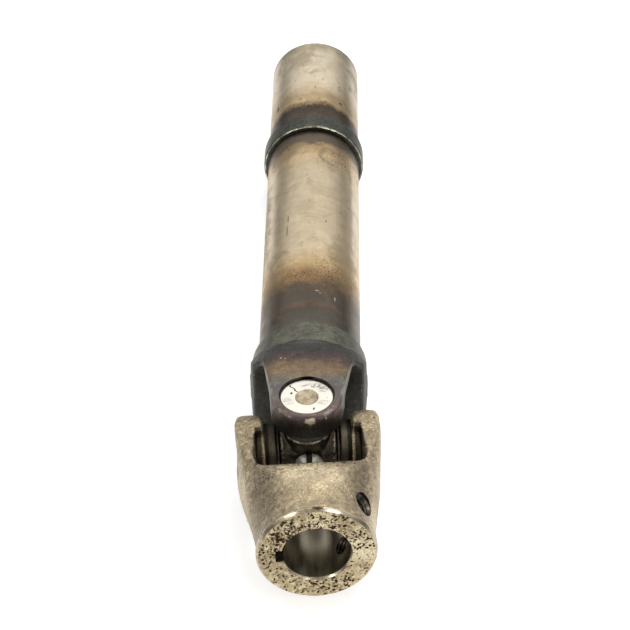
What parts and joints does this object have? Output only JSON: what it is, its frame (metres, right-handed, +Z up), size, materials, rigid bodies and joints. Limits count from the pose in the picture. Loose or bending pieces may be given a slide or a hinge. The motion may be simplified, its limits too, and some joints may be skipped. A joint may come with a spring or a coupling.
{
  "type": "universal joint shaft",
  "caption": "Universal joint shaft: a keyed hub yoke swivels on a cross with needle bearings in a forged yoke welded to a steel tube with a collar ring.",
  "frame": {"origin": "middle of the footprint, on the plane that the tube yoke's lower ear rests on", "axes": "+Y along the tube away from the hub yoke, +Z up through the tube yoke's upper ear, +X to the right seen from the hub end"},
  "size_m": [0.0664, 0.3778, 0.0644],
  "materials": {
    "tube": "bright drawn steel with a lengthwise brushed sheen and straw to brown heat tint at the welded ends",
    "ring": "dark green-grey heat-blackened ring with worn bright edges",
    "forged_yoke": "dark forged steel with blue, purple and tan heat tint, bright worn edges",
    "cast_yoke": "grainy blasted casting, warm grey, with a rust-pitted machined end face",
    "cross": "dark oiled forging",
    "plug": "dull plated steel",
    "cup": "ground bright steel, lightly scratched",
    "seal": "black nitrile rubber",
    "snap_ring": "phosphated black spring wire",
    "needle": "ground bearing steel",
    "washer": "pale nylon"
  },
  "bodies": {
    "tube_shaft": {"tube_yoke": "forged_yoke", "front_tube": "tube", "collar_ring": "ring", "rear_tube": "tube", "upper_bearing_cup": "cup", "upper_seal": "seal", "upper_snap_ring": "snap_ring", "lower_bearing_cup": "cup", "lower_seal": "seal", "lower_snap_ring": "snap_ring"},
    "tube_side_needles": {"upper_needle_set": "needle", "lower_needle_set": "needle"},
    "cross": {"cross": "cross", "grease_plug": "plug", "upper_thrust_washer": "washer", "lower_thrust_washer": "washer", "right_thrust_washer": "washer", "left_thrust_washer": "washer"},
    "hub_side_needles": {"right_needle_set": "needle", "left_needle_set": "needle"},
    "hub": {"hub_yoke": "cast_yoke", "right_bearing_cup": "cup", "right_seal": "seal", "right_snap_ring": "snap_ring", "left_bearing_cup": "cup", "left_seal": "seal", "left_snap_ring": "snap_ring"}
  },
  "joints": [
    {"name": "cross_swivel", "type": "hinge", "parent": "tube_shaft", "child": "cross", "pos_m": [0, -0.11965, 0.0322], "axis": [0, 0, 1], "range_deg": [-34, 26]},
    {"name": "hub_swing", "type": "hinge", "parent": "cross", "child": "hub", "pos_m": [0, -0.11965, 0.0322], "axis": [0.9974, 0.0722, 0], "range_deg": [-28.5, 31.5]},
    {"name": "tube_side_needle_roll", "type": "hinge", "parent": "tube_shaft", "child": "tube_side_needles", "pos_m": [0, -0.11965, 0.0322], "axis": [0, 0, 1], "range_deg": [-15, 11.5]},
    {"name": "hub_side_needle_roll", "type": "hinge", "parent": "cross", "child": "hub_side_needles", "pos_m": [0, -0.11965, 0.0322], "axis": [0.9974, 0.0722, 0], "range_deg": [-16.3, 18.1]}
  ],
  "couplings": [
    {"joint": "tube_side_needle_roll", "follows": "cross_swivel", "ratio": 0.4345},
    {"joint": "hub_side_needle_roll", "follows": "hub_swing", "ratio": 0.5655}
  ]
}
